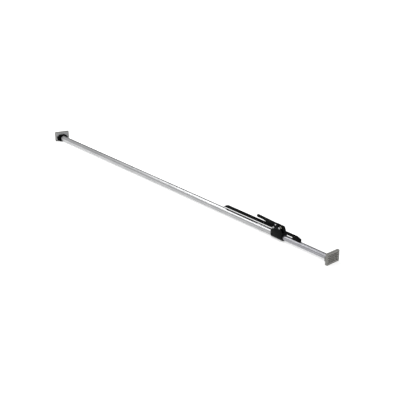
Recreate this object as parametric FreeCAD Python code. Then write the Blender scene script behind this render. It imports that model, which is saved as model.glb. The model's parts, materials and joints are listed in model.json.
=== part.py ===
import FreeCAD, Part
import math
import os

# Two-tube bracing bar with a lever-worked clutch that jacks the inner tube out.
# +X runs along the bar towards the extending foot, +Z is up, and the origin is
# the point where the bar's axis meets the fixed foot's outer face. Millimetres.

V = FreeCAD.Vector
X_AXIS = V(1, 0, 0)
Y_AXIS = V(0, 1, 0)
Z_AXIS = V(0, 0, 1)

# Overall sizes
overall_length = 2640.0       # foot face to foot face as drawn
outer_tube_d = 38.1
outer_tube_wall = 1.65
inner_tube_wall = 1.65
guide_room = 1.525            # bore of the outer tube to the skin of the inner one
outward_travel = 90.0         # how far the inner tube may still come out

# Feet
pad_width = 101.6
pad_height = 70.0
pad_thickness = 12.0
pad_corner_r = 6.0
pad_lift = 10.5               # pad centre above the bar's axis
pad_border = 7.0
tread_rows = 7
tread_row_pitch = 7.0
tread_columns = 4
tread_pocket_height = 3.6
tread_pocket_depth = 1.6
tread_web = 3.0               # rubber left between two pockets of a row
fixed_foot_yaw = -20.0        # how the fixed foot is left standing
foot_plate_t = 2.5
foot_plate_rim = 5.0          # rubber rim around the steel plate
cup_width = 73.0
cup_wall = 4.0
cup_tube_gap = 0.95           # outer tube's skin to the inside of the cup
cup_floor = 3.5
plate_recess = 2.5            # rubber rim standing past the steel plate
cup_chamfer_y = 19.0
cup_chamfer_z = 14.0
cup_mouth = 29.0              # depth of the cup's mouth behind the foot's face
cup_rivet_r = 2.0
cup_rivet_head_r = 3.6
cup_rivet_head_t = 1.2
cup_rivet_rise = 1.0          # rivets above the foot of the cup's inner slope
cup_rivet_room = 0.6          # rivet head to the cup's sloping wall

# Swivel at each foot
swivel_pin_r = 3.0
swivel_pin_head_r = 6.0
swivel_pin_head_t = 1.8
swivel_spacer_r = 5.0
tongue_r = 7.5
tongue_floor_gap = 1.0
tongue_half_z = 11.5
knuckle_nose_r = 2.875        # flat left on the nose of the inner tube's casting
knuckle_land = 1.0            # straight part of the shoulder behind its dome
spacer_room = 0.44            # swivel spacer to the dome of the outer tube's casting
knuckle_plug_length = 28.0
knuckle_bore_r = 9.0
knuckle_bore_start = 8.0      # shoulder to where the plug is hollow
knuckle_rivet_r = 2.5
knuckle_rivet_head_r = 4.5
rivet_head_t = 1.3

# Clutch housing
housing_setback = 456.0       # housing's start from the extending foot's face
housing_length = 88.0
housing_wall = 2.0
housing_side_room = 3.55      # outer tube's skin to the housing's side
housing_side_rise = 2.95      # outer tube's skin to the top of the flat sides
shoulder_rise = 9.95          # outer tube's skin to the foot of the ears
throat_rise = 6.95            # outer tube's skin to the slot the levers work in
cheek_t = 3.0                 # thickness of each ear
lever_side_room = 3.5         # handle's side to the inside of an ear
clamp_length = 18.0
end_wall_t = 6.0
tube_end_inset = 16.0         # outer tube's end from the housing's start
housing_rivet_r = 2.4
housing_rivet_head_r = 4.4
housing_rivet_recess = 0.48   # rivet's inner end from the tube's bore

# Guide bushes
front_bush_length = 60.0
bush_flange_t = 1.4
rear_bush_length = 30.0
rear_bush_pin_r = 2.0
end_bush_flange_t = 1.6
end_bush_flange_lip = 1.45    # flange standing past the outer tube's radius

# Handle
handle_pin_x = 22.0           # from the housing's start
handle_pin_rise = 28.95       # pin's axis above the outer tube's skin
handle_pin_r = 3.5
handle_length = 432.0         # pin to tip
handle_half_width = 9.0       # at the pin
grip_half_width = 10.5        # beyond the housing
grip_lap = 20.0               # how far the cheeks run on inside the grip
handle_sheet = 2.5
handle_drop = 6.0             # handle's top below its pin
handle_depth = 9.4
handle_neck = 25.5            # pin to where the fork starts to rise to it
handle_web_t = 2.2
handle_tip_slope = 19.0
fork_tip_room = 12.0          # release lever's tip to the closed part of the handle
fork_side_room = 1.0          # release lever's arm to the sides of the handle's slot
fork_ear_r = 8.5
handle_boss_r = 8.0
cam_reach = 15.0
cam_nose_r = 5.0
cam_lead_angle = 22.0
cam_hub_r = 7.6
cam_web_half = 4.0
cam_rivet_reach = 11.0
cam_rivet_r = 1.5
cam_rivet_head_r = 3.0
cam_lug_r = 4.5
pin_head_t = 1.6
pin_head_lip = 2.2
clip_t = 1.2
clip_r = 6.5
pin_tail = 1.0                # pin left standing past its clip

# Drive plates
drive_plate_t = 4.0
drive_plate_gap = 0.3
plate_edge_gap = 0.7          # clutch plates to the inside of the housing
drive_tongue_half = 5.0
drive_tongue_drop = 12.0      # tongue's top below the handle pin

# Release lever and brake
release_pin_x = 61.0          # from the housing's start
release_pin_rise = 5.0        # release pin above the handle pin
release_pin_r = 4.0
release_half_width = 6.0
release_reach = 195.0         # pin to thumb tip
release_top_rise = 14.0       # lever's top above its pin
release_bridge_rise = 16.0    # the same where the arm starts
release_tip_rise = 21.5       # the same at the thumb tip
release_arm_half = 3.5        # half width of the arm that works in the handle's slot
thumb_depth = 18.0
thumb_reach = 105.0           # handle pin to where the arm deepens
keel_reach = 50.0             # handle pin to where the arm is deepest
keel_gap = 3.0                # arm's deepest edge above the handle's top
bridge_depth = 7.0            # lever's depth where it passes over the handle pin
bridge_half_length = 9.5
release_knee = 24.0           # release pin to where the lever's top slopes down
lever_hub_r = 9.0
brake_plate_t = 6.0
brake_offset = -1.0           # brake plate's centre from the release pin
brake_tilt = 4.5
brake_tongue_half = 4.0
brake_tongue_rise = 2.0       # tongue's top above the tail's top
brake_pin_r = 1.5
brake_pin_drop = 2.0          # pin below the tail's top
lever_foot_drop = 7.0         # lever's foot below the tail's top
tail_reach = 152.0            # release pin to the end of the tail
tail_half_width = 8.0
tail_drop = 13.0              # tail's top below the release pin
tail_depth = 11.0
tail_sheet = 2.0
tail_start = 36.0             # release pin to the start of the tail channel
tail_chamfer_x = 30.0
tail_chamfer_z = 9.0
block_length = 56.0
tail_rivet_r = 2.0
tail_rivet_head_r = 3.4
tail_rivet_spacing = 18.0
lever_tongue_length = 46.0

# Springs
handle_spring_wire = 1.6
handle_spring_r = 5.6
handle_spring_turns = 3.0
handle_spring_hook_x = 27.0
handle_spring_anchor_x = 17.0
release_spring_wire = 1.6
release_spring_r = 6.4
release_spring_turns = 2.5
release_spring_leg = 11.0
plate_spring_wire = 1.8
plate_spring_room = 2.425     # inner tube's skin to the middle of the wire
plate_spring_turns = 3.0
spring_pitch_gap = 0.05       # air left between two turns of a torsion spring
coil_steps = 24               # straight runs in one turn of a torsion spring
mitred = 1                    # how a swept wire is joined at its bends

# Clearances
running_gap = 0.06            # pin in a bore that turns on it
slide_gap = 0.08              # tube in a guide bush
seat_gap = 0.05               # fixed piece in its seat
side_gap = 0.1                # flat faces that slide past each other
plate_gap = 0.28              # drive plate's hole around the inner tube
brake_gap = 0.52              # brake plate's hole around the inner tube
cam_gap = 0.4                 # cam nose to the drive plates
saddle_gap = 0.35             # brake block over the inner tube
spring_gap = 0.3
cut_over = 1.0                # how far a cutting solid runs past a face

# Derived sizes
outer_r = outer_tube_d / 2
outer_bore_r = outer_r - outer_tube_wall
inner_r = outer_bore_r - guide_room
foot_floor = pad_thickness - plate_recess
foot_pivot = foot_floor + cup_floor + tongue_floor_gap + tongue_r
fixed_pivot_x = foot_pivot / math.cos(math.radians(fixed_foot_yaw))
moving_pivot_x = overall_length - foot_pivot
knuckle_dome_r = inner_r - knuckle_nose_r
dome_start_r = outer_r - knuckle_dome_r
dome_rise = tongue_half_z + side_gap - dome_start_r
dome_sag = knuckle_dome_r - math.sqrt(knuckle_dome_r ** 2 - dome_rise ** 2)
knuckle_setback = swivel_spacer_r + spacer_room - dome_sag
tube_setback = knuckle_setback + knuckle_dome_r + knuckle_land
outer_tube_start = fixed_pivot_x + tube_setback
housing_start = overall_length - housing_setback
outer_tube_end = housing_start + tube_end_inset
housing_end = housing_start + housing_length
clamp_end = housing_start + clamp_length
end_wall_start = housing_end - end_wall_t
inner_tube_end = moving_pivot_x - tube_setback
rear_bush_end = outer_tube_end - front_bush_length - outward_travel
inner_tube_start = rear_bush_end - rear_bush_length
housing_half_width = outer_r + housing_side_room
housing_side_top = outer_r + housing_side_rise
shoulder_top = outer_r + shoulder_rise
throat_floor = outer_r + throat_rise
chamber_half_width = housing_half_width - housing_wall
clutch_plate_r = chamber_half_width - plate_edge_gap
cheek_inner = handle_half_width + lever_side_room
cheek_outer = cheek_inner + cheek_t
end_bush_flange_r = outer_r + end_bush_flange_lip
cup_inner_half_z = outer_r + cup_tube_gap
cup_height = 2 * (cup_inner_half_z + cup_wall)
cup_inner_half_y = cup_width / 2 - cup_wall
cup_slope = math.hypot(cup_chamfer_y, cup_chamfer_z) / cup_chamfer_z
cup_rivet_z = cup_inner_half_z - cup_chamfer_z + cup_rivet_rise
cup_rivet_drop = cup_rivet_rise * cup_chamfer_y / cup_chamfer_z
cup_rivet_y = cup_inner_half_y - cup_rivet_drop - (cup_rivet_head_r + cup_rivet_room) * cup_slope
spacer_length = cup_inner_half_z - tongue_half_z - 2 * side_gap
P1_X = housing_start + handle_pin_x
P2_X = housing_start + release_pin_x
handle_pin_z = outer_r + handle_pin_rise
release_pin_z = handle_pin_z + release_pin_rise
handle_top = handle_pin_z - handle_drop
drive_tongue_top = handle_pin_z - drive_tongue_drop
release_top = release_pin_z + release_top_rise
release_tip_top = release_pin_z + release_tip_rise
tail_top = release_pin_z - tail_drop
brake_tongue_top = tail_top + brake_tongue_rise
brake_pin_z = tail_top - brake_pin_drop
lever_foot_z = tail_top - lever_foot_drop
plate_spring_r = inner_r + plate_spring_room
cam_lead = math.radians(cam_lead_angle)
drive_plate_x = P1_X + cam_reach * math.sin(cam_lead) + cam_nose_r + cam_gap
drive_plate_end = drive_plate_x + 2 * drive_plate_t + drive_plate_gap
brake_x = P2_X + brake_offset
spring_outer_y = cheek_outer + spring_gap


def box(x0, x1, y0, y1, z0, z1):
    return Part.makeBox(x1 - x0, y1 - y0, z1 - z0, V(x0, y0, z0))


def rod_x(r, x0, x1, y=0.0, z=0.0):
    return Part.makeCylinder(r, x1 - x0, V(x0, y, z), X_AXIS)


def rod_y(r, y0, y1, x, z):
    return Part.makeCylinder(r, y1 - y0, V(x, y0, z), Y_AXIS)


def rod_z(r, z0, z1, x=0.0, y=0.0):
    return Part.makeCylinder(r, z1 - z0, V(x, y, z0), Z_AXIS)


def pipe_x(r_out, r_in, x0, x1):
    return rod_x(r_out, x0, x1).cut(rod_x(r_in, x0 - cut_over, x1 + cut_over))


def slab_xz(points, y0, y1):
    """Extrude a side outline, given as (x, z) corners, across the bar."""
    corners = [V(x, y0, z) for x, z in points]
    face = Part.Face(Part.makePolygon(corners + corners[:1]))
    return face.extrude(V(0, y1 - y0, 0))


def slab_yz(points, x0, x1):
    """Extrude a cross-section, given as (y, z) corners, along the bar."""
    corners = [V(x0, y, z) for y, z in points]
    face = Part.Face(Part.makePolygon(corners + corners[:1]))
    return face.extrude(V(x1 - x0, 0, 0))


def fuse(*solids):
    whole = solids[0]
    for solid in solids[1:]:
        whole = whole.fuse(solid)
    return whole.removeSplitter()


def group(solids):
    return Part.makeCompound(solids)


def polar_xz(x, z, reach, angle):
    """A point at a reach from (x, z), the angle leaning from straight down to +X."""
    return x + reach * math.sin(angle), z - reach * math.cos(angle)


def place_fixed(shape):
    """Put a foot piece, drawn about its swivel pin, on the fixed end."""
    placed = shape.copy()
    placed.rotate(V(0, 0, 0), Z_AXIS, fixed_foot_yaw)
    placed.translate(V(fixed_pivot_x, 0, 0))
    return placed


def place_fixed_square(shape):
    """Put a piece that stays in line with the outer tube on the fixed end."""
    placed = shape.copy()
    placed.translate(V(fixed_pivot_x, 0, 0))
    return placed


def place_moving(shape):
    """Put a piece drawn about its swivel pin on the extending end."""
    placed = shape.copy()
    placed.rotate(V(0, 0, 0), Z_AXIS, 180)
    placed.translate(V(moving_pivot_x, 0, 0))
    return placed


# Feet, drawn with the swivel pin at the origin and the outer face towards -X

def rounded_pad(width, height, x0, x1, corner_r):
    pad = box(x0, x1, -width / 2, width / 2, pad_lift - height / 2, pad_lift + height / 2)
    long_edges = [e for e in pad.Edges if abs(e.Vertexes[0].X - e.Vertexes[1].X) > 0]
    return pad.makeFillet(corner_r, long_edges)


def tread_pockets(face_x):
    """Staggered rows of shallow pockets inside the pad's border."""
    usable = pad_width - 2 * pad_border
    pitch = usable / tread_columns
    half = (pitch - tread_web) / 2
    pockets = []
    for row in range(tread_rows):
        z = pad_lift + (row - (tread_rows - 1) / 2) * tread_row_pitch
        staggered = row % 2
        count = tread_columns - staggered
        for column in range(count):
            y = (column - (count - 1) / 2) * pitch
            pockets.append(box(face_x - cut_over, face_x + tread_pocket_depth, y - half, y + half,
                               z - tread_pocket_height / 2, z + tread_pocket_height / 2))
    return pockets


def foot_tread():
    face_x = -foot_pivot
    back_x = face_x + pad_thickness
    plate_x = back_x - plate_recess - foot_plate_t
    tread = rounded_pad(pad_width, pad_height, face_x, back_x, pad_corner_r)
    seat = rounded_pad(pad_width - 2 * foot_plate_rim, pad_height - 2 * foot_plate_rim,
                       plate_x, back_x + cut_over, pad_corner_r - foot_plate_rim / 2)
    return tread.cut(seat).cut(group(tread_pockets(face_x)))


def foot_plate():
    x1 = foot_floor - foot_pivot
    plate = rounded_pad(pad_width - 2 * foot_plate_rim - 2 * seat_gap,
                        pad_height - 2 * foot_plate_rim - 2 * seat_gap,
                        x1 - foot_plate_t, x1, pad_corner_r - foot_plate_rim / 2)
    for y, z in cup_rivet_places():
        plate = plate.cut(rod_x(cup_rivet_r, x1 - foot_plate_t - cut_over, x1 + cut_over, y, z))
    return plate


def octagon(half_y, half_z, chamfer_y, chamfer_z):
    quarter = [(half_y, half_z - chamfer_z), (half_y - chamfer_y, half_z)]
    return (quarter + [(-y, z) for y, z in reversed(quarter)]
            + [(-y, -z) for y, z in quarter] + [(y, -z) for y, z in reversed(quarter)])


def cup_rivet_places():
    return [(y, z) for y in (-cup_rivet_y, cup_rivet_y) for z in (-cup_rivet_z, cup_rivet_z)]


def foot_cup():
    x0 = foot_floor - foot_pivot
    x1 = cup_mouth - foot_pivot
    rim_x = pad_thickness + side_gap - foot_pivot
    outside = slab_yz(octagon(cup_width / 2, cup_height / 2, cup_chamfer_y, cup_chamfer_z), x0, x1)
    plate_foot = pad_lift - pad_height / 2 + foot_plate_rim + side_gap
    outside = outside.cut(box(x0 - cut_over, rim_x, -cup_width, cup_width, -cup_height, plate_foot))
    inside = slab_yz(octagon(cup_inner_half_y, cup_inner_half_z, cup_chamfer_y, cup_chamfer_z),
                     x0 + cup_floor, x1 + cut_over)
    cup = outside.cut(inside)
    cup = cup.cut(rod_z(swivel_pin_r + seat_gap, -cup_height, cup_height))
    for y, z in cup_rivet_places():
        cup = cup.cut(rod_x(cup_rivet_r, x0 - cut_over, x0 + cup_floor + cut_over, y, z))
    return cup


def foot_cup_rivets():
    x0 = foot_floor - foot_pivot
    rivets = []
    for y, z in cup_rivet_places():
        shank = rod_x(cup_rivet_r, x0 - foot_plate_t, x0 + cup_floor, y, z)
        head = rod_x(cup_rivet_head_r, x0 + cup_floor, x0 + cup_floor + cup_rivet_head_t, y, z)
        rivets.append(fuse(shank, head))
    return group(rivets)


def swivel_pin():
    top = cup_height / 2
    shank = rod_z(swivel_pin_r, -top, top)
    head = rod_z(swivel_pin_head_r, top, top + swivel_pin_head_t)
    return fuse(shank, head)


def swivel_spacers():
    low = tongue_half_z + side_gap
    high = low + spacer_length
    bore = rod_z(swivel_pin_r + seat_gap, low - cut_over, high + cut_over)
    ring = rod_z(swivel_spacer_r, low, high).cut(bore)
    return group([ring, ring.mirror(V(0, 0, 0), Z_AXIS)])


def knuckle(tube_r, bore_r):
    """End casting: a drilled tongue, a domed shoulder and a plug inside the tube."""
    x0 = knuckle_setback
    x1 = tube_setback
    shoulder = rod_x(tube_r, x0, x1)
    front_rim = [e for e in shoulder.Edges if len(e.Vertexes) == 1 and abs(e.Vertexes[0].X - x0) < side_gap]
    shoulder = shoulder.makeFillet(knuckle_dome_r, front_rim)
    tongue = fuse(rod_z(tongue_r, -tongue_half_z, tongue_half_z),
                  box(0, x0 + knuckle_dome_r, -tongue_r, tongue_r, -tongue_half_z, tongue_half_z))
    plug = rod_x(bore_r - seat_gap, x1, x1 + knuckle_plug_length).cut(
        rod_x(knuckle_bore_r, x1 + knuckle_bore_start, x1 + knuckle_plug_length + cut_over))
    body = fuse(shoulder, tongue, plug)
    body = body.cut(rod_z(swivel_pin_r + running_gap, -tube_r, tube_r))
    return body.cut(knuckle_rivet_hole(tube_r))


def knuckle_rivet_x():
    return tube_setback + knuckle_plug_length / 2


def knuckle_rivet_hole(tube_r):
    return rod_y(knuckle_rivet_r, -tube_r - cut_over, tube_r + cut_over, knuckle_rivet_x(), 0)


def saddle_rivet(x, tube_r, shank_r, head_r):
    """A cross rivet whose heads follow the round of the tube."""
    band = pipe_x(tube_r + rivet_head_t, tube_r, x - head_r - cut_over, x + head_r + cut_over)
    heads = band.common(rod_y(head_r, -tube_r - 2 * rivet_head_t, tube_r + 2 * rivet_head_t, x, 0))
    shank = rod_y(shank_r, -tube_r, tube_r, x, 0)
    shank = shank.fuse(rod_y(shank_r, -tube_r - rivet_head_t / 2, tube_r + rivet_head_t / 2, x, 0))
    return fuse(shank, heads)


def knuckle_rivet(tube_r):
    return saddle_rivet(knuckle_rivet_x(), tube_r, knuckle_rivet_r, knuckle_rivet_head_r)


# Tubes and guide bushes

def outer_tube():
    tube = pipe_x(outer_r, outer_bore_r, outer_tube_start, outer_tube_end)
    tube = tube.cut(place_fixed_square(knuckle_rivet_hole(outer_r)))
    for hole in housing_rivet_holes():
        tube = tube.cut(hole)
    return tube


def inner_tube():
    tube = pipe_x(inner_r, inner_r - inner_tube_wall, inner_tube_start, inner_tube_end)
    tube = tube.cut(place_moving(knuckle_rivet_hole(inner_r)))
    return tube.cut(rear_bush_hole())


def rear_bush_hole():
    x = rear_bush_end - rear_bush_length / 2
    return rod_y(rear_bush_pin_r, -outer_r, outer_r, x, 0)


def rear_guide_bush():
    bush = pipe_x(outer_bore_r - slide_gap, inner_r, inner_tube_start, rear_bush_end)
    return bush.cut(rear_bush_hole())


def rear_bush_pin():
    x = rear_bush_end - rear_bush_length / 2
    reach = outer_bore_r - 2 * slide_gap
    pin = rod_y(rear_bush_pin_r, -reach, reach, x, 0)
    return pin.common(rod_x(reach, x - outer_r, x + outer_r))


def front_guide_bush():
    sleeve = pipe_x(outer_bore_r, inner_r + slide_gap, outer_tube_end - front_bush_length, outer_tube_end)
    flange = pipe_x(outer_r, inner_r + slide_gap, outer_tube_end, outer_tube_end + bush_flange_t)
    return fuse(sleeve, flange)


def end_guide_bush():
    sleeve = pipe_x(outer_r - seat_gap, inner_r + slide_gap, end_wall_start, housing_end)
    flange = pipe_x(end_bush_flange_r, inner_r + slide_gap, housing_end, housing_end + end_bush_flange_t)
    return fuse(sleeve, flange)


# Clutch housing

def section(half_width, side_top, half_top, top):
    return [(half_width, 0), (half_width, side_top), (half_top, top),
            (-half_top, top), (-half_width, side_top), (-half_width, 0)]


def cheek_outline():
    """Side outline of the two ears that carry the handle and release pins."""
    base_z = housing_side_top
    return [(housing_start + housing_wall, base_z), (housing_end - housing_wall, base_z),
            (housing_end - 2 * housing_wall, shoulder_top), (P2_X + lever_hub_r, release_pin_z),
            (P2_X, release_pin_z + lever_hub_r - housing_wall),
            (P1_X, handle_pin_z + fork_ear_r),
            (P1_X - fork_ear_r - housing_wall, handle_pin_z),
            (housing_start + housing_wall, shoulder_top)]


def housing():
    lower = rod_x(housing_half_width, housing_start, housing_end)
    upper = slab_yz(section(housing_half_width, housing_side_top, cheek_outer, shoulder_top),
                    housing_start, housing_end)
    ears = slab_xz(cheek_outline(), -cheek_outer, cheek_outer)
    ear_1 = rod_y(fork_ear_r + housing_wall, -cheek_outer, cheek_outer, P1_X, handle_pin_z)
    ear_2 = rod_y(lever_hub_r, -cheek_outer, cheek_outer, P2_X, release_pin_z)
    body = fuse(lower, upper, ears, ear_1, ear_2)
    chamber_low = rod_x(chamber_half_width, clamp_end, end_wall_start)
    chamber = slab_yz(section(chamber_half_width, housing_side_top - housing_wall / 2,
                              cheek_inner, shoulder_top), clamp_end, end_wall_start)
    throat = box(housing_start - cut_over, housing_end + cut_over, -cheek_inner, cheek_inner,
                 throat_floor, release_tip_top)
    body = body.cut(chamber_low).cut(chamber).cut(throat)
    body = body.cut(rod_x(outer_r + seat_gap, housing_start - cut_over, housing_end + cut_over))
    body = body.cut(rod_y(handle_pin_r + seat_gap, -cheek_outer, cheek_outer, P1_X, handle_pin_z))
    body = body.cut(rod_y(release_pin_r + seat_gap, -cheek_outer, cheek_outer, P2_X, release_pin_z))
    anchor_x, anchor_z = handle_spring_anchor()
    body = body.cut(rod_y(handle_spring_wire / 2 + seat_gap, -outer_tube_d, 0, anchor_x, anchor_z))
    for hole in housing_rivet_holes():
        body = body.cut(hole)
    return body


def housing_rivet_x():
    return housing_start + tube_end_inset / 2


def housing_rivet_holes():
    x = housing_rivet_x()
    far = housing_half_width + cut_over
    return [rod_y(housing_rivet_r, outer_bore_r - cut_over, far, x, 0),
            rod_y(housing_rivet_r, -far, cut_over - outer_bore_r, x, 0),
            rod_z(housing_rivet_r, -far, cut_over - outer_bore_r, x, 0)]


def housing_rivet():
    """A short rivet through the housing and the tube wall, drawn along +Y."""
    x = housing_rivet_x()
    shank = rod_y(housing_rivet_r, outer_bore_r + housing_rivet_recess, housing_half_width, x, 0)
    head = rod_y(housing_rivet_head_r, housing_half_width, housing_half_width + rivet_head_t, x, 0)
    return fuse(shank, head)


def housing_rivets():
    rivets = []
    for turn in (0, 180, 270):
        rivet = housing_rivet()
        rivet.rotate(V(0, 0, 0), X_AXIS, turn)
        rivets.append(rivet)
    return group(rivets)


# Pins, clips, spacers and springs

def headed_pin(x, z, r, head_y):
    """A pin with its head at -Y and a bare end past the far cheek."""
    far = cheek_outer + clip_t + pin_tail
    shank = rod_y(r, head_y, far, x, z)
    head = rod_y(r + pin_head_lip, head_y - pin_head_t, head_y, x, z)
    return fuse(shank, head)


def handle_pin():
    coil = handle_spring_wire * (handle_spring_turns + 1)
    return headed_pin(P1_X, handle_pin_z, handle_pin_r, -spring_outer_y - coil - spring_gap)


def release_pin():
    return headed_pin(P2_X, release_pin_z, release_pin_r, -cheek_outer)


def clip(x, z, r):
    ring = rod_y(clip_r, cheek_outer, cheek_outer + clip_t, x, z)
    ring = ring.cut(rod_y(r, cheek_outer - cut_over, cheek_outer + clip_t + cut_over, x, z))
    slot = box(x - r / 2, x + r / 2, cheek_outer - cut_over, cheek_outer + clip_t + cut_over,
               z - clip_r - cut_over, z)
    return ring.cut(slot)


def pin_clips():
    return group([clip(P1_X, handle_pin_z, handle_pin_r), clip(P2_X, release_pin_z, release_pin_r)])


def spacer(x, z, r_out, r_in, inner_y):
    y0 = inner_y + side_gap
    y1 = cheek_inner - side_gap / 2
    return rod_y(r_out, y0, y1, x, z).cut(rod_y(r_in, y0 - cut_over, y1 + cut_over, x, z))


def mirrored_pair(shape):
    return group([shape, shape.mirror(V(0, 0, 0), Y_AXIS)])


def handle_spacers():
    return mirrored_pair(spacer(P1_X, handle_pin_z, handle_boss_r, handle_pin_r + seat_gap,
                                handle_half_width))


def release_spacer():
    """The near side only: the release spring fills the far side."""
    ring = spacer(P2_X, release_pin_z, handle_boss_r, release_pin_r + seat_gap, release_half_width)
    return ring.mirror(V(0, 0, 0), Y_AXIS)


def coil_points(x, z, mean_r, wire, turns, y0, start_angle):
    """Points along a close-wound coil about an axis along Y, wound from y0 towards +Y.

    The coil climbs from +X to +Z, and start_angle is measured that way from +X."""
    steps = round(turns * coil_steps)
    points = []
    for step in range(steps + 1):
        angle = math.radians(start_angle) + 2 * math.pi * step / coil_steps
        y = y0 + wire / 2 + (wire + spring_pitch_gap) * step / coil_steps
        points.append(V(x + mean_r * math.cos(angle), y, z + mean_r * math.sin(angle)))
    return points


def bent_wire(points, wire):
    """One round wire along straight runs, mitred at each bend."""
    path = Part.makePolygon(points)
    along = points[1].sub(points[0])
    profile = Part.Wire(Part.makeCircle(wire / 2, points[0], along))
    return path.makePipeShell([profile], True, False, mitred)


def handle_spring_anchor():
    return P1_X + handle_spring_anchor_x, handle_pin_z - handle_spring_r


def handle_spring():
    """Torsion spring outside the near cheek that holds the handle down."""
    wire = handle_spring_wire
    wound = (wire + spring_pitch_gap) * handle_spring_turns
    outer_y = -spring_outer_y - wound - wire
    turns = coil_points(P1_X, handle_pin_z, handle_spring_r, wire, handle_spring_turns, outer_y, -90)
    hook_x = P1_X - handle_spring_hook_x
    hook_z = handle_top + wire / 2 + spring_gap
    anchor_x, anchor_z = handle_spring_anchor()
    hook = [V(hook_x, -release_half_width, hook_z), V(hook_x, turns[0].y, hook_z)]
    leg = [V(anchor_x, turns[-1].y, anchor_z), V(anchor_x, -cheek_inner, anchor_z)]
    return bent_wire(hook + turns + leg, wire)


def release_spring():
    """Torsion spring beside the release lever that tips the brake plate."""
    wire = release_spring_wire
    turns = coil_points(P2_X, release_pin_z, release_spring_r, wire, release_spring_turns,
                        release_half_width + spring_gap, 0)
    drop = V(0, 0, -release_spring_leg)
    return bent_wire([turns[0].add(drop)] + turns + [turns[-1].add(drop)], wire)


def plate_spring():
    """Coil around the inner tube that pushes the drive plates back."""
    start = drive_plate_end + spring_gap
    room = brake_x - brake_plate_t / 2 - clutch_plate_r * math.sin(math.radians(brake_tilt))
    rise = (room - spring_gap - start - plate_spring_wire) / plate_spring_turns
    helix = Part.makeHelix(rise, rise * plate_spring_turns, plate_spring_r)
    profile = Part.Wire(Part.makeCircle(plate_spring_wire / 2, V(plate_spring_r, 0, 0), Y_AXIS))
    spring = Part.Wire(helix.Edges).makePipeShell([profile], True, True)
    spring.rotate(V(0, 0, 0), Y_AXIS, 90)
    spring.translate(V(start + plate_spring_wire / 2, 0, 0))
    return spring


# Handle

def grip_side():
    bottom = handle_top - handle_depth
    tip_x = P1_X - handle_length
    end_x = P1_X - handle_neck
    return slab_xz([(tip_x, bottom), (end_x, bottom), (end_x, handle_top),
                    (tip_x + handle_tip_slope, handle_top), (tip_x, bottom + handle_web_t)],
                   grip_half_width - handle_sheet, grip_half_width)


def grip_top():
    """The grip's web, slotted where the release lever's arm passes through."""
    bottom = handle_top - handle_depth
    tip_x = P1_X - handle_length
    web_end = P1_X - handle_neck
    web = slab_xz([(tip_x, bottom), (tip_x + handle_web_t, bottom),
                   (tip_x + handle_tip_slope, handle_top - handle_web_t),
                   (web_end, handle_top - handle_web_t), (web_end, handle_top),
                   (tip_x + handle_tip_slope, handle_top), (tip_x, bottom + handle_web_t)],
                  -grip_half_width, grip_half_width)
    slot_half = release_arm_half + fork_side_room
    slot_start = P2_X - release_reach - fork_tip_room
    return web.cut(box(slot_start, web_end + cut_over, -slot_half, slot_half, bottom, handle_top + cut_over))


def handle_lever():
    inner = handle_half_width - handle_sheet
    bottom = handle_top - handle_depth
    nose_x, nose_z = polar_xz(P1_X, handle_pin_z, cam_rivet_reach, cam_lead)
    cheek = box(P1_X - handle_neck - grip_lap, P1_X, inner, handle_half_width, bottom, handle_top)
    neck = slab_xz([(P1_X - handle_neck, bottom), (P1_X, bottom), (P1_X + fork_ear_r, handle_pin_z),
                    (P1_X, handle_pin_z + fork_ear_r), (P1_X - fork_ear_r, handle_pin_z + handle_web_t)],
                   inner, handle_half_width)
    ear = rod_y(fork_ear_r, inner, handle_half_width, P1_X, handle_pin_z)
    lug = rod_y(cam_lug_r, inner, handle_half_width, nose_x, nose_z)
    leg = fuse(grip_side(), cheek, neck, ear, lug)
    lever = fuse(leg, leg.mirror(V(0, 0, 0), Y_AXIS), grip_top())
    lever = lever.cut(rod_y(handle_pin_r + running_gap, -cheek_outer, cheek_outer, P1_X, handle_pin_z))
    return lever.cut(cam_rivet_hole())


def cam_rivet_hole():
    x, z = polar_xz(P1_X, handle_pin_z, cam_rivet_reach, cam_lead)
    return rod_y(cam_rivet_r, -cheek_outer, cheek_outer, x, z)


def handle_cam():
    half = handle_half_width - handle_sheet - seat_gap
    nose_x, nose_z = polar_xz(P1_X, handle_pin_z, cam_reach, cam_lead)
    hub = rod_y(cam_hub_r, -half, half, P1_X, handle_pin_z)
    nose = rod_y(cam_nose_r, -half, half, nose_x, nose_z)
    side_x = cam_web_half * math.cos(cam_lead)
    side_z = cam_web_half * math.sin(cam_lead)
    web = slab_xz([(P1_X - side_x, handle_pin_z - side_z), (nose_x - side_x, nose_z - side_z),
                   (nose_x + side_x, nose_z + side_z), (P1_X + side_x, handle_pin_z + side_z)], -half, half)
    cam = fuse(hub, nose, web)
    cam = cam.cut(rod_y(handle_pin_r + running_gap, -cheek_outer, cheek_outer, P1_X, handle_pin_z))
    return cam.cut(cam_rivet_hole())


def cam_rivet():
    x, z = polar_xz(P1_X, handle_pin_z, cam_rivet_reach, cam_lead)
    reach = handle_half_width + rivet_head_t
    shank = rod_y(cam_rivet_r, -handle_half_width, handle_half_width, x, z)
    heads = [rod_y(cam_rivet_head_r, -reach, -handle_half_width, x, z),
             rod_y(cam_rivet_head_r, handle_half_width, reach, x, z)]
    return fuse(shank, *heads)


# Drive plates

def drive_plate(x0):
    ring = rod_x(clutch_plate_r, x0, x0 + drive_plate_t)
    tongue = box(x0, x0 + drive_plate_t, -drive_tongue_half, drive_tongue_half, 0, drive_tongue_top)
    return fuse(ring, tongue).cut(rod_x(inner_r + plate_gap, x0 - cut_over, x0 + drive_plate_t + cut_over))


def front_drive_plate():
    return drive_plate(drive_plate_x + drive_plate_t + drive_plate_gap)


def rear_drive_plate():
    return drive_plate(drive_plate_x)


# Release lever, tail and brake

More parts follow.
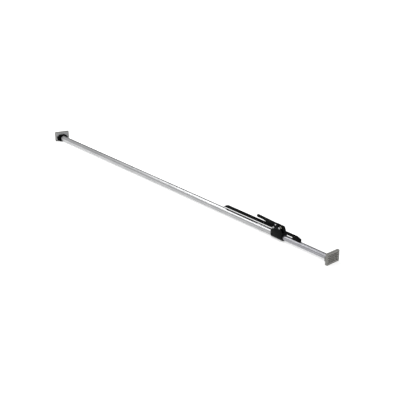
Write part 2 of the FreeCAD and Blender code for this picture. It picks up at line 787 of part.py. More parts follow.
def release_outline():
    """Side outline of the release lever, from the thumb tip round to the tail tongue."""
    tip_x = P2_X - release_reach
    thumb_r = thumb_depth / 2
    thumb_z = release_tip_top - thumb_depth
    keel_z = handle_top + keel_gap
    bridge_top = release_pin_z + release_bridge_rise
    bridge_z = release_top - bridge_depth
    rise_end = P2_X + release_knee
    tongue_end = P2_X + tail_start + lever_tongue_length
    tongue_top = tail_top - tail_sheet - seat_gap
    return [(tip_x + thumb_r, release_tip_top), (P1_X - bridge_half_length, bridge_top),
            (rise_end, release_top),
            (P2_X + tail_start, tongue_top), (tongue_end, tongue_top),
            (tongue_end, tail_top - tail_depth), (P2_X + lever_hub_r, tail_top - tail_depth),
            (P2_X + lever_hub_r, lever_foot_z), (P2_X - lever_hub_r, lever_foot_z),
            (P2_X - lever_hub_r, bridge_z - bridge_depth),
            (P1_X + bridge_half_length, bridge_z), (P1_X - bridge_half_length, bridge_z),
            (P1_X - bridge_half_length - bridge_depth, keel_z), (P1_X - keel_reach, keel_z),
            (P1_X - thumb_reach, thumb_z), (tip_x + thumb_r, thumb_z)]


def release_lever():
    half = release_half_width
    thumb_r = thumb_depth / 2
    tip_x = P2_X - release_reach
    arm_half = release_arm_half
    whole = slab_xz(release_outline(), -half, half)
    body = whole.common(box(P1_X, P2_X + tail_reach, -half, half, 0, release_tip_top))
    arm = slab_xz(release_outline(), -arm_half, arm_half)
    tip = rod_y(thumb_r, -arm_half, arm_half, tip_x + thumb_r, release_tip_top - thumb_r)
    hub = rod_y(lever_hub_r, -half, half, P2_X, release_pin_z)
    lever = fuse(body, arm, tip, hub)
    lever = lever.cut(rod_y(release_pin_r + running_gap, -cheek_outer, cheek_outer, P2_X, release_pin_z))
    lever = lever.cut(brake_tongue(brake_tongue_half + seat_gap, brake_plate_t / 2 + seat_gap,
                                   brake_tongue_top + seat_gap))
    lever = lever.cut(brake_pin_hole())
    for hole in tail_rivet_holes():
        lever = lever.cut(hole)
    return lever


def tilt_brake(shape):
    """Lean a piece drawn square at the brake plate's centre to its resting tilt."""
    tilted = shape.copy()
    tilted.rotate(V(brake_x, 0, 0), Y_AXIS, brake_tilt)
    return tilted


def brake_tongue(half_y, half_x, top):
    return tilt_brake(box(brake_x - half_x, brake_x + half_x, -half_y, half_y, inner_r, top))


def brake_pin_hole():
    hole = rod_y(brake_pin_r, -cheek_outer, cheek_outer, brake_x, brake_pin_z)
    return tilt_brake(hole)


def brake_plate():
    half = brake_plate_t / 2
    ring = tilt_brake(rod_x(clutch_plate_r, brake_x - half, brake_x + half))
    bore = tilt_brake(rod_x(inner_r + brake_gap, brake_x - outer_r, brake_x + outer_r))
    plate = fuse(ring, brake_tongue(brake_tongue_half, half, brake_tongue_top))
    return plate.cut(bore).cut(brake_pin_hole())


def brake_plate_pin():
    pin = rod_y(brake_pin_r, -release_half_width, release_half_width, brake_x, brake_pin_z)
    return tilt_brake(pin)


def tail_side_outline(floor):
    """Outline of the tail channel's sides, with its end sloped down to the block."""
    start = P2_X + tail_start
    end = P2_X + tail_reach
    return [(start, floor), (end, floor), (end, tail_top - tail_chamfer_z),
            (end - tail_chamfer_x, tail_top), (start, tail_top)]


def tail_inner_outline(floor):
    start = P2_X + tail_start - cut_over
    end = P2_X + tail_reach - tail_sheet
    top = tail_top - tail_sheet
    return [(start, floor), (end, floor), (end, top - tail_chamfer_z),
            (end - tail_chamfer_x, top), (start, top)]


def tail_channel():
    floor = tail_top - tail_depth
    sheet = slab_xz(tail_side_outline(floor), -tail_half_width, tail_half_width)
    inner = tail_half_width - tail_sheet
    channel = sheet.cut(slab_xz(tail_inner_outline(floor - cut_over), -inner, inner))
    for hole in tail_rivet_holes() + block_rivet_holes():
        channel = channel.cut(hole)
    return channel


def brake_block():
    """Nylon shoe at the tail's end that rides over the inner tube."""
    floor = tail_top - tail_depth
    start = P2_X + tail_reach - block_length
    end = P2_X + tail_reach
    inner = tail_half_width - tail_sheet - seat_gap
    core = slab_xz(tail_inner_outline(0), -inner, inner)
    room = box(start, end - tail_sheet - seat_gap, -inner, inner, 0, tail_top - tail_sheet - seat_gap)
    core = core.common(room)
    core.translate(V(0, 0, -seat_gap))
    shoe = box(start, end, -tail_half_width, tail_half_width, 0, floor - seat_gap)
    block = fuse(core, shoe)
    block = block.cut(rod_x(inner_r + saddle_gap, start - cut_over, end + cut_over))
    block = block.common(box(start, end, -tail_half_width, tail_half_width, inner_r / 2, tail_top))
    for hole in block_rivet_holes():
        block = block.cut(hole)
    return block


def tail_rivet_xs():
    first = P2_X + tail_start + tail_rivet_spacing / 2
    return [first, first + tail_rivet_spacing]


def block_rivet_xs():
    last = P2_X + tail_reach - block_length / 2
    return [last - tail_rivet_spacing / 2, last + tail_rivet_spacing / 2]


def rivet_z():
    return tail_top - tail_sheet - (tail_depth - tail_sheet) / 2


def cross_holes(xs):
    return [rod_y(tail_rivet_r, -cheek_outer, cheek_outer, x, rivet_z()) for x in xs]


def tail_rivet_holes():
    return cross_holes(tail_rivet_xs())


def block_rivet_holes():
    return cross_holes(block_rivet_xs())


def cross_rivet(x):
    reach = tail_half_width + rivet_head_t
    shank = rod_y(tail_rivet_r, -tail_half_width, tail_half_width, x, rivet_z())
    heads = [rod_y(tail_rivet_head_r, -reach, -tail_half_width, x, rivet_z()),
             rod_y(tail_rivet_head_r, tail_half_width, reach, x, rivet_z())]
    return fuse(shank, *heads)


def tail_rivets():
    return group([cross_rivet(x) for x in tail_rivet_xs() + block_rivet_xs()])


def foot_nodes(prefix, place_foot, place_tube, tube_r, bore_r):
    """Every piece of one foot, named for the end it is on."""
    turning = {"tread": foot_tread(), "plate": foot_plate(), "cup": foot_cup(),
               "cup_rivets": foot_cup_rivets(), "swivel_pin": swivel_pin(),
               "swivel_spacers": swivel_spacers()}
    steady = {"knuckle": knuckle(tube_r, bore_r), "knuckle_rivet": knuckle_rivet(tube_r)}
    nodes = {prefix + "_" + name: place_foot(shape) for name, shape in turning.items()}
    nodes.update({prefix + "_" + name: place_tube(shape) for name, shape in steady.items()})
    return nodes


def build():
    nodes = {
        "outer_tube": outer_tube(), "inner_tube": inner_tube(),
        "front_guide_bush": front_guide_bush(), "rear_guide_bush": rear_guide_bush(),
        "rear_bush_pin": rear_bush_pin(), "end_guide_bush": end_guide_bush(),
        "clutch_housing": housing(), "housing_rivets": housing_rivets(),
        "handle_pin": handle_pin(), "release_pin": release_pin(), "pin_clips": pin_clips(),
        "handle_spacers": handle_spacers(), "release_spacer": release_spacer(),
        "handle_spring": handle_spring(), "release_spring": release_spring(),
        "plate_spring": plate_spring(), "handle_lever": handle_lever(),
        "handle_cam": handle_cam(), "cam_rivet": cam_rivet(),
        "front_drive_plate": front_drive_plate(), "rear_drive_plate": rear_drive_plate(),
        "release_lever": release_lever(), "brake_plate": brake_plate(),
        "brake_plate_pin": brake_plate_pin(), "tail_channel": tail_channel(),
        "brake_block": brake_block(), "tail_rivets": tail_rivets(),
    }
    nodes.update(foot_nodes("fixed", place_fixed, place_fixed_square, outer_r, outer_bore_r))
    nodes.update(foot_nodes("extending", place_moving, place_moving, inner_r, inner_r - inner_tube_wall))
    return nodes


os.makedirs("parts", exist_ok=True)
for name, shape in build().items():
    shape.exportStep("parts/" + name + ".step")
    print(name, "solids", len(shape.Solids), "volume", round(shape.Volume), "valid", shape.isValid())
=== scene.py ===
# %% [markdown]
# # A two-tube bracing bar, from its frame to its finish
# The real object wedges itself between two walls. A lever jacks the inner tube out of the
# outer one, a second lever lets it go, and a rubber-faced foot swivels at each end.
# The mechanism is already settled as a set of solids, so this script could redraw every
# piece. It loads them instead and spends its effort on edges, rubber and finishes,
# because the eye judges those first and the solids already fit each other.

# %% Load the solids
import json
import math

import bmesh
import bpy
from mathutils import Matrix, Vector


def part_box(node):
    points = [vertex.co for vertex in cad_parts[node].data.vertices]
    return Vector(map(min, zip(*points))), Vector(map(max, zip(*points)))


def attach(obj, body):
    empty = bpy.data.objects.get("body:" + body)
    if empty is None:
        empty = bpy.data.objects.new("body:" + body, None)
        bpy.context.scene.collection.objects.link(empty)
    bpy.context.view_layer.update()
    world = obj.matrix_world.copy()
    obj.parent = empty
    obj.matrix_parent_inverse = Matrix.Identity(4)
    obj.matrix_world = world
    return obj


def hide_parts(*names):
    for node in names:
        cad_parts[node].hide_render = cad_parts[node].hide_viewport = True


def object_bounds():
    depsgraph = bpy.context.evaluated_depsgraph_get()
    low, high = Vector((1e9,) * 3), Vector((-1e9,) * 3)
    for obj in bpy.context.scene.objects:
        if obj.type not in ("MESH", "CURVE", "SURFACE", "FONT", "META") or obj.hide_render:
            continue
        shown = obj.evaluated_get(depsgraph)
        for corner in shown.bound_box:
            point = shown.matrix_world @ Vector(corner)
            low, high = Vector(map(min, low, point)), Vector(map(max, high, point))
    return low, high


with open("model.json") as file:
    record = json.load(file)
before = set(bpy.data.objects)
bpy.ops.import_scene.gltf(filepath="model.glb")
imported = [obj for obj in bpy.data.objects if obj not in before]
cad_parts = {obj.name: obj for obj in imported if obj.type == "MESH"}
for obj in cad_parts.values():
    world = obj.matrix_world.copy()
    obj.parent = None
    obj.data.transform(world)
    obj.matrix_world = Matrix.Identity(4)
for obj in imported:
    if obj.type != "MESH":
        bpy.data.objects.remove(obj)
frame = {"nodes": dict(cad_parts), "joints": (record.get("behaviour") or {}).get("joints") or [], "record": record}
solid_low, solid_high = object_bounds()
record = frame["record"]
print("solids", len(frame["nodes"]), "span", [round(v, 3) for v in solid_high - solid_low])

# %% Look-ups and the millimetre
MM = 0.001
BODY_OF = {node: body for body, nodes in record["behaviour"]["bodies"].items() for node in nodes}
SLOT_OF = {row["node"]: row["material_slot"] for row in record["subparts"]}
JOINT = {joint["name"]: joint for joint in frame["joints"]}
FIXED_PIVOT = Vector(JOINT["fixed_foot_swivel"]["pos_m"])
MOVING_PIVOT = Vector(JOINT["extending_foot_swivel"]["pos_m"])
print("swivels", list(FIXED_PIVOT), list(MOVING_PIVOT))

# %% [markdown]
# ## Nodes for the finishes
# Every finish here is noise at a real size: a draw line on a tube, the orange peel of
# powder coat, the spark texture of a moulding. Painted pictures could carry them, but
# noise needs no unwrapping and never repeats, so each finish is built from nodes that
# read the piece's own coordinates.

# %% Helpers for colours and nodes
def linear(code):
    """An sRGB hex colour as the linear values that Blender works in."""
    channels = [int(code[i:i + 2], 16) / 255 for i in (1, 3, 5)]
    return [c / 12.92 if c <= 0.04045 else ((c + 0.055) / 1.055) ** 2.4 for c in channels] + [1.0]


def add(tree, kind, settings, sockets):
    """Add one node with its settings; a socket given another node's output is linked to it."""
    node = tree.nodes.new(kind)
    for name, value in settings.items():
        setattr(node, name, value)
    for name, value in sockets.items():
        if isinstance(value, bpy.types.NodeSocket):
            tree.links.new(value, node.inputs[name])
        else:
            node.inputs[name].default_value = value
    return node


SOFT_DETAIL, FINE_DETAIL = 3.0, 6.0     # octaves in a smooth noise and in a dusty one


def lumps(tree, size_mm, detail=SOFT_DETAIL):
    """Noise in the piece's own coordinates, its lumps size_mm long in X, Y and Z."""
    place = add(tree, "ShaderNodeTexCoord", {}, {}).outputs["Object"]
    scaled = add(tree, "ShaderNodeMapping", {},
                 {"Vector": place, "Scale": [1 / (size * MM) for size in size_mm]})
    noise = add(tree, "ShaderNodeTexNoise", {},
                {"Vector": scaled.outputs["Vector"], "Scale": 1.0, "Detail": detail})
    return noise.outputs["Fac"]


NOISE_LOW, NOISE_HIGH = 0.32, 0.68      # where most of a noise's values lie


def finish(name, shades, patch_mm, grain_mm, roughness, relief_mm, **shader):
    """A finish whose colour drifts in patches between two shades under a fine raised grain."""
    material = bpy.data.materials.new(name)
    material.use_nodes = True
    tree = material.node_tree
    tree.nodes.clear()
    grain = lumps(tree, grain_mm)
    both = add(tree, "ShaderNodeMath", {"operation": "ADD"}, {0: lumps(tree, patch_mm), 1: grain})
    spread = {"Value": both.outputs[0], "From Min": 2 * NOISE_LOW, "From Max": 2 * NOISE_HIGH}
    amount = add(tree, "ShaderNodeMapRange", {}, spread).outputs["Result"]
    colour = add(tree, "ShaderNodeMix", {"data_type": "RGBA"},
                 {0: amount, 6: linear(shades[0]), 7: linear(shades[1])})
    rough = add(tree, "ShaderNodeMapRange", {},
                {"Value": grain, "From Min": NOISE_LOW, "From Max": NOISE_HIGH,
                 "To Min": roughness[0], "To Max": roughness[1]})
    bump = add(tree, "ShaderNodeBump", {}, {"Height": grain, "Distance": relief_mm * MM})
    surface = add(tree, "ShaderNodeBsdfPrincipled", {},
                  {"Base Color": colour.outputs[2], "Roughness": rough.outputs["Result"],
                   "Normal": bump.outputs["Normal"], **shader})
    add(tree, "ShaderNodeOutputMaterial", {}, {"Surface": surface.outputs["BSDF"]})
    return material


def overlay(material, code, mask, low, high, strength):
    """Lay one more shade over a finish where a mask runs from low to high."""
    tree = material.node_tree
    surface = next(n for n in tree.nodes if n.type == "BSDF_PRINCIPLED")
    under = surface.inputs["Base Color"].links[0].from_socket
    shown = add(tree, "ShaderNodeMapRange", {},
                {"Value": mask, "From Min": low, "From Max": high, "To Max": strength}).outputs["Result"]
    laid = add(tree, "ShaderNodeMix", {"data_type": "RGBA"}, {0: shown, 6: under, 7: linear(code)})
    tree.links.new(laid.outputs[2], surface.inputs["Base Color"])


# %% [markdown]
# ## The two tubes
# The tubes are drawn steel with a bright zinc plate. Drawing leaves fine lines along the
# tube, and plating leaves soft cloudy patches and a slightly uneven gloss. An anisotropic
# highlight could stand for the lines, but stretched noise also breaks up the colour, so
# the lines are noise a third of a millimetre wide and as long as a hand. The inner tube
# has a thicker chromate film over its zinc, which gives it a cool violet cast.

# %% Tube finishes
DRAW_LINES_MM = (160.0, 0.7, 0.7)       # real lines are finer; these are as coarse as shows
CLOUDS_MM = (90.0, 30.0, 30.0)
RUB_MARKS_MM = (2.2, 60.0, 60.0)        # rings left where the bushes and plates slide


def zinc_plated_drawn_steel():
    return finish("zinc_plated_drawn_steel", ("#999a9b", "#b1b1b2"), CLOUDS_MM, DRAW_LINES_MM,
                  (0.27, 0.36), 0.004, Metallic=1.0)


def chromated_drawn_steel():
    steel = finish("chromated_drawn_steel", ("#8f8f93", "#a2a2a6"), CLOUDS_MM, DRAW_LINES_MM,
                   (0.30, 0.38), 0.004, Metallic=1.0)
    overlay(steel, "#88888f", lumps(steel.node_tree, RUB_MARKS_MM),
            low=0.6, high=0.75, strength=0.5)
    return steel


# %% [markdown]
# ## Black parts
# The clutch housing and the levers are steel under black powder coat, which cures with a
# low orange peel and a satin gloss. The cups and the brake block are moulded black nylon,
# duller, with the fine even grain of a spark-eroded mould. Both could share one black,
# but the difference in gloss is what tells painted metal from plastic. Each keeps the
# index of its real resin, and its specular level is turned down for a worn, dull skin.

# %% Black finishes
ORANGE_PEEL_MM = (1.1, 1.1, 1.1)
SPARK_GRAIN_MM = (0.5, 0.5, 0.5)
HAND_PATCH_MM = (35.0, 22.0, 22.0)      # where hands have polished or greased a lever
DUST_MM = (7.0, 7.0, 7.0)


def black_powder_coated_casting():
    coat = finish("black_powder_coated_casting", ("#040505", "#0a0c0b"), HAND_PATCH_MM,
                  ORANGE_PEEL_MM, (0.42, 0.55), 0.03, **{"IOR": 1.5, "Specular IOR Level": 0.08})
    overlay(coat, "#2a2f2d", lumps(coat.node_tree, DUST_MM, FINE_DETAIL),
            low=0.56, high=0.8, strength=0.15)
    return coat


def black_powder_coated_pressing():
    coat = finish("black_powder_coated_pressing", ("#020303", "#070808"), HAND_PATCH_MM,
                  ORANGE_PEEL_MM, (0.4, 0.52), 0.025, **{"IOR": 1.5, "Specular IOR Level": 0.06})
    overlay(coat, "#222326", lumps(coat.node_tree, DUST_MM, FINE_DETAIL),
            low=0.6, high=0.82, strength=0.15)
    return coat


def moulded_black_nylon():
    return finish("moulded_black_nylon", ("#020202", "#080808"), HAND_PATCH_MM, SPARK_GRAIN_MM,
                  (0.55, 0.68), 0.02, **{"IOR": 1.53, "Specular IOR Level": 0.06})


# %% [markdown]
# ## Rubber, nylon, castings and hardware
# The pads are moulded grey rubber: matt, a little chalky on its high faces, with a darker
# rubber in the pockets that is painted shade for the pockets along with their dirt. The levers'
# pins are barrel-plated zinc with tumbling marks, and the feet's pins and rivets are black zinc.
# The end castings are zinc alloy with a faint skin, and the springs are dark phosphated
# wire. The plates that bite the tube are hardened steel, blued by heat and wiped with oil.

# %% Finishes of the small parts
RUBBER_BLOOM_MM = (14.0, 9.0, 9.0)
RUBBER_GRAIN_MM = (0.6, 0.6, 0.6)
TUMBLE_MM = (0.9, 0.9, 0.9)
CAST_SKIN_MM = (1.4, 1.4, 1.4)
HEAT_TINT_MM = (9.0, 9.0, 9.0)


def moulded_grey_rubber():
    rubber = finish("moulded_grey_rubber", ("#71706c", "#8a8986"), RUBBER_BLOOM_MM, RUBBER_GRAIN_MM,
                    (0.72, 0.88), 0.05, IOR=1.52)
    overlay(rubber, "#989793", lumps(rubber.node_tree, DUST_MM, FINE_DETAIL),
            low=0.58, high=0.78, strength=0.4)
    return rubber


# Painted shade: the pocket faces get this darker rubber, which stands for the shade in the pockets as well as
# their dirt.
def pocket_shade_and_grime_rubber():
    return finish("pocket_shade_and_grime_rubber", ("#292622", "#45413c"), DUST_MM, RUBBER_GRAIN_MM,
                  (0.8, 0.93), 0.05, IOR=1.52)


def grey_coated_plate():
    return finish("grey_coated_plate", ("#8d8e8f", "#a3a4a4"), RUBBER_BLOOM_MM, ORANGE_PEEL_MM,
                  (0.42, 0.55), 0.02, IOR=1.5)


def natural_nylon():
    return finish("natural_nylon", ("#c9c3b3", "#dcd7c9"), RUBBER_BLOOM_MM, SPARK_GRAIN_MM,
                  (0.4, 0.52), 0.015, IOR=1.53)


def die_cast_zinc():
    return finish("die_cast_zinc", ("#a6a7a9", "#bcbdbf"), RUBBER_BLOOM_MM, CAST_SKIN_MM,
                  (0.36, 0.5), 0.03, Metallic=1.0)


def barrel_plated_zinc():
    zinc = finish("barrel_plated_zinc", ("#8d8e90", "#b0b1b2"), HEAT_TINT_MM, TUMBLE_MM,
                  (0.24, 0.38), 0.015, Metallic=1.0)
    overlay(zinc, "#c2b896", lumps(zinc.node_tree, HEAT_TINT_MM),
            low=0.55, high=0.75, strength=0.35)
    return zinc


def phosphated_spring_wire():
    return finish("phosphated_spring_wire", ("#3c3c40", "#55555a"), HEAT_TINT_MM, TUMBLE_MM,
                  (0.35, 0.48), 0.01, Metallic=1.0)


def black_zinc_hardware():
    return finish("black_zinc_hardware", ("#18181a", "#2a2a2d"), HEAT_TINT_MM, TUMBLE_MM,
                  (0.32, 0.46), 0.015, Metallic=1.0)


def oiled_hardened_steel():
    steel = finish("oiled_hardened_steel", ("#4b4b4f", "#67676b"), HEAT_TINT_MM, TUMBLE_MM,
                   (0.26, 0.42), 0.01, Metallic=1.0)
    overlay(steel, "#5a4a3c", lumps(steel.node_tree, HEAT_TINT_MM),
            low=0.52, high=0.72, strength=0.6)
    return steel


# %% Give every solid its finish
FINISH_OF = {
    "outer_tube_steel": zinc_plated_drawn_steel(),
    "inner_tube_steel": chromated_drawn_steel(),
    "black_housing": black_powder_coated_casting(),
    "black_levers": black_powder_coated_pressing(),
    "black_nylon": moulded_black_nylon(),
    "pad_rubber": moulded_grey_rubber(),
    "pad_plate_steel": grey_coated_plate(),
    "bush_nylon": natural_nylon(),
    "knuckle_casting": die_cast_zinc(),
    "zinc_hardware": barrel_plated_zinc(),
    "black_hardware": black_zinc_hardware(),
    "spring_steel": phosphated_spring_wire(),
    "hardened_plate": oiled_hardened_steel(),
}
POCKET_SHADE_AND_GRIME = pocket_shade_and_grime_rubber()
for node, solid in frame["nodes"].items():
    solid.data.materials.clear()
    solid.data.materials.append(FINISH_OF[SLOT_OF[node]])
print("finishes", len(FINISH_OF) + 1)

# %% [markdown]
# ## Working on one piece at a time
# Operators act on whatever is selected, and the loaded solids arrive selected. Each piece
# is therefore picked alone before any operator runs, and its faces and edges are chosen
# by where they are and which way they point.

# %% Helpers for picking and shaping
def pick(piece):
    """Make a piece the only selected and the active object."""
    bpy.ops.object.select_all(action="DESELECT")
    piece.select_set(True)
    bpy.context.view_layer.objects.active = piece


def choose_faces(piece, test):
    """In edit mode, select just the faces whose middle and normal pass a test."""
    bpy.ops.mesh.select_mode(type="FACE")
    shape = bmesh.from_edit_mesh(piece.data)
    for face in shape.faces:
        face.select_set(test(face.calc_center_median(), face.normal))
    bmesh.update_edit_mesh(piece.data)


def choose_edges(piece, test):
    """In edit mode, select just the edges whose two ends pass a test."""
    bpy.ops.mesh.select_mode(type="EDGE")
    shape = bmesh.from_edit_mesh(piece.data)
    for edge in shape.edges:
        edge.select_set(test(edge.verts[0].co, edge.verts[1].co))
    bmesh.update_edit_mesh(piece.data)


def modify(piece, kind, **settings):
    """Add a modifier with its settings and apply it at once."""
    pick(piece)
    modifier = piece.modifiers.new(kind.lower(), kind)
    for name, value in settings.items():
        setattr(modifier, name, value)
    bpy.ops.object.modifier_apply(modifier=modifier.name)


SHARP = math.radians(30)                # an edge that turns more than this is a real one


def round_edges(piece, radius_mm, segments=2):
    modify(piece, "BEVEL", width=radius_mm * MM, segments=segments, limit_method="ANGLE",
           angle_limit=SHARP, use_clamp_overlap=True)
    bpy.ops.object.shade_smooth_by_angle(angle=SHARP)


def stand_for(piece, node):
    """A finished piece rides where the solid it replaces rides and shares its slot."""
    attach(piece, BODY_OF[node])
    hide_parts(node)
    print(piece.name, "faces", len(piece.data.polygons))


# %% [markdown]
# ## Broken edges
# No pressed, cast or moulded edge is perfectly sharp, and the thin bright line along a
# rounded edge is what makes black parts readable. The pieces could be redrawn, but the
# solids already have the right shape, so each one is copied, its loose triangles are
# merged into real faces, and its edges are bevelled by the radius that its process gives.

# %% Copy a solid with its edges broken
WELD = 0.002 * MM
FLAT = math.radians(0.4)


def with_broken_edges(node, name, radius_mm, segments=2):
    piece = bpy.data.objects.new(name, frame["nodes"][node].data.copy())
    bpy.context.scene.collection.objects.link(piece)
    pick(piece)
    bpy.ops.object.mode_set(mode="EDIT")
    bpy.ops.mesh.select_all(action="SELECT")
    bpy.ops.mesh.remove_doubles(threshold=WELD)
    bpy.ops.mesh.dissolve_limited(angle_limit=FLAT)
    bpy.ops.object.mode_set(mode="OBJECT")
    bpy.ops.mesh.customdata_custom_splitnormals_clear()
    round_edges(piece, radius_mm, segments)
    stand_for(piece, node)
    return piece


# %% Castings, pressings and mouldings
PRESSED_R, CAST_R, MOULDED_R, TURNED_R = 0.35, 0.7, 0.6, 0.3
EDGE_RADIUS = {
    "clutch_housing": CAST_R, "fixed_knuckle": CAST_R, "extending_knuckle": CAST_R,
    "handle_lever": PRESSED_R, "release_lever": CAST_R, "tail_channel": PRESSED_R,
    "fixed_cup": MOULDED_R, "extending_cup": MOULDED_R, "brake_block": MOULDED_R,
    "fixed_plate": PRESSED_R, "extending_plate": PRESSED_R,
    "handle_pin": TURNED_R, "release_pin": TURNED_R, "pin_clips": TURNED_R,
    "fixed_swivel_pin": TURNED_R, "extending_swivel_pin": TURNED_R,
}
for node, radius in EDGE_RADIUS.items():
    with_broken_edges(node, node + "_finished", radius)

# %% Rivet heads, set round by the rivet gun
RIVET_DOME_R = 0.9
DOME_SEGMENTS = 4
for node in ("housing_rivets", "tail_rivets", "cam_rivet", "fixed_cup_rivets",
             "extending_cup_rivets"):
    with_broken_edges(node, node + "_domed", RIVET_DOME_R, DOME_SEGMENTS)

# %% [markdown]
# ## The rubber treads
# Each foot ends in a thick rubber tread with rounded corners, shallow staggered pockets
# that let it grip, and a recess behind for its steel plate. Bump could fake the pockets,
# but they change the outline of the light on the face, so they are cut: one pad is made
# from a block, its corners are bevelled, its back is inset and pushed in, and a tray of
# small blocks is taken out of its face. The other foot's tread is a copy, turned round.

# %% Sizes of a tread
TREAD_CORNER = 6 * MM
TREAD_RIM = 5 * MM
RECESS = 5 * MM
POCKET_ROWS = 7
ROW_PITCH = 7 * MM
POCKET_COLUMNS = 4
POCKET_HEIGHT = 3.6 * MM
POCKET_DEPTH = 1.6 * MM
POCKET_WEB = 3 * MM
TREAD_BORDER = 7 * MM
TREAD_EDGE_R = 0.8
tread_low, tread_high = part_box("extending_tread")
print("tread", [round(v / MM, 1) for v in tread_high - tread_low])


# %% The block of rubber
def tread_block():
    bpy.ops.object.select_all(action="DESELECT")
    bpy.ops.mesh.primitive_cube_add(size=1, location=(tread_low + tread_high) / 2)
    block = bpy.context.object
    block.scale = tread_high - tread_low
    bpy.ops.object.transform_apply(location=True, rotation=True, scale=True)
    bpy.ops.object.mode_set(mode="EDIT")
    choose_edges(block, lambda a, b: abs(a.x - b.x) > TREAD_CORNER)
    bpy.ops.mesh.bevel(offset=TREAD_CORNER, segments=6, affect="EDGES")
    choose_faces(block, lambda middle, normal: normal.x < -0.9)
    bpy.ops.mesh.inset(thickness=TREAD_RIM)
    bpy.ops.mesh.extrude_region_move(TRANSFORM_OT_translate={"value": (RECESS, 0, 0)})
    bpy.ops.object.mode_set(mode="OBJECT")
    block.data.materials.append(FINISH_OF["pad_rubber"])
    return block


# %% The tray of pocket cutters
def pocket_tray():
    centre = (tread_low + tread_high) / 2
    pitch = (tread_high.y - tread_low.y - 2 * TREAD_BORDER) / POCKET_COLUMNS
    bpy.ops.object.select_all(action="DESELECT")
    cutters = []
    for row in range(POCKET_ROWS):
        count = POCKET_COLUMNS - row % 2
        for column in range(count):
            y = (column - (count - 1) / 2) * pitch
            z = centre.z + (row - (POCKET_ROWS - 1) / 2) * ROW_PITCH
            bpy.ops.mesh.primitive_cube_add(size=1, location=(tread_high.x, y, z))
            cutter = bpy.context.object
            cutter.scale = (2 * POCKET_DEPTH, pitch - POCKET_WEB, POCKET_HEIGHT)
            cutters.append(cutter)
    for cutter in cutters:
        cutter.select_set(True)
    bpy.ops.object.transform_apply(location=True, rotation=True, scale=True)
    bpy.ops.object.join()
    tray = bpy.context.object
    # The pocket faces take the darker rubber: painted shade in the pockets, together with dirt.
    tray.data.materials.append(POCKET_SHADE_AND_GRIME)
    return tray


# %% Cut the pockets and place both treads
block = tread_block()
tray = pocket_tray()
modify(block, "BOOLEAN", operation="DIFFERENCE", solver="EXACT", object=tray,
       material_mode="TRANSFER")
bpy.data.objects.remove(tray)
round_edges(block, TREAD_EDGE_R)
block.name = "extending_tread_rubber"

wall_normal = Vector(next(m["axis"] for m in record["mounts"] if m["name"] == "fixed_foot_face"))
turned = bpy.data.objects.new("fixed_tread_rubber", block.data.copy())
bpy.context.scene.collection.objects.link(turned)
turned.data.transform(Matrix.Translation(FIXED_PIVOT)
                      @ Matrix.Rotation(math.atan2(wall_normal.y, wall_normal.x), 4, "Z")
                      @ Matrix.Translation(-MOVING_PIVOT))
stand_for(block, "extending_tread")
stand_for(turned, "fixed_tread")

# %% [markdown]
# ## Floor, light and camera
# The bar lies on a plain white floor. One lamp would give thin parts hard shadows and
# leave the tubes black where they mirror nothing, so the room itself gives most of the
# light: bright over and behind the camera, dim beyond the bar, which gives each tube its
# dark upper edge. A wide soft box above draws the long highlight along the outer tube.

# %% Floor
FLOOR_SIZE = 60.0
FLOOR_GLOW = 0.45                       # keeps the paper white and its shadows faint
PAPER_CLOUDS_MM = (400.0, 400.0, 400.0)
PAPER_TOOTH_MM = (3.0, 3.0, 3.0)
bpy.ops.object.select_all(action="DESELECT")
floor_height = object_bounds()[0].z
bpy.ops.mesh.primitive_plane_add(size=FLOOR_SIZE, location=(solid_high.x / 2, 0, floor_height))
floor = bpy.context.object
floor.name = "floor"
floor.data.materials.append(finish("white_studio_paper", ("#f4f4f4", "#f8f8f8"), PAPER_CLOUDS_MM,
                                   PAPER_TOOTH_MM, (0.85, 0.9), 0.02, IOR=1.45))
glow = next(n for n in floor.active_material.node_tree.nodes if n.type == "BSDF_PRINCIPLED")
glow.inputs["Emission Color"].default_value = linear("#ffffff")
glow.inputs["Emission Strength"].default_value = FLOOR_GLOW

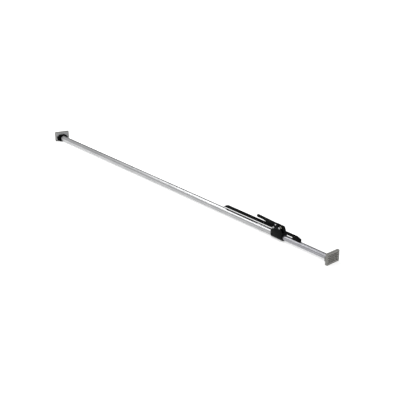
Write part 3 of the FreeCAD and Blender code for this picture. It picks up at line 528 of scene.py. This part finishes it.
# %% Camera
AZIMUTH, ELEVATION = math.radians(48.64), math.radians(23.32)
LENS = 86.44
LOOK_AT = Vector((1.5448, 0, -0.0026))
DISTANCE = 5.9821
back = Vector((math.sin(AZIMUTH) * math.cos(ELEVATION), -math.cos(AZIMUTH) * math.cos(ELEVATION),
               math.sin(ELEVATION)))
camera = bpy.data.objects.new("camera", bpy.data.cameras.new("camera"))
bpy.context.scene.collection.objects.link(camera)
camera.data.lens = LENS
camera.location = LOOK_AT + back * DISTANCE
camera.rotation_euler = back.to_track_quat("Z", "Y").to_euler()
bpy.context.scene.camera = camera
print("camera", [round(v, 3) for v in camera.location])

# %% Room light
ROOM_BRIGHT, ROOM_DIM = 1.0, 0.2
BRIGHT_SIDE = Vector((0.6, -0.75, 0.4)).normalized()
DIM_BELOW, BRIGHT_ABOVE = -0.6, -0.1    # how squarely a direction faces the bright side
world = bpy.data.worlds.new("room")
bpy.context.scene.world = world
world.use_nodes = True
room = world.node_tree
room.nodes.clear()
direction = add(room, "ShaderNodeTexCoord", {}, {}).outputs["Generated"]
towards = add(room, "ShaderNodeVectorMath", {"operation": "DOT_PRODUCT"},
              {0: direction, 1: BRIGHT_SIDE}).outputs["Value"]
level = add(room, "ShaderNodeMapRange", {"interpolation_type": "SMOOTHSTEP"},
            {"Value": towards, "From Min": DIM_BELOW, "From Max": BRIGHT_ABOVE,
             "To Min": ROOM_DIM, "To Max": ROOM_BRIGHT})
background = add(room, "ShaderNodeBackground", {}, {"Strength": level.outputs["Result"]})
add(room, "ShaderNodeOutputWorld", {}, {"Surface": background.outputs["Background"]})

# %% Soft box
BOX_POWER = 100.0
BOX_LENGTH, BOX_WIDTH = 1.5, 5.0
BOX_PLACE = (-1.0, -1.2, 3.0)
soft_box = bpy.data.objects.new("soft_box", bpy.data.lights.new("soft_box", "AREA"))
bpy.context.scene.collection.objects.link(soft_box)
soft_box.data.shape = "RECTANGLE"
soft_box.data.size = BOX_LENGTH
soft_box.data.size_y = BOX_WIDTH
soft_box.data.energy = BOX_POWER
soft_box.location = BOX_PLACE
bpy.context.scene.view_settings.view_transform = "Standard"
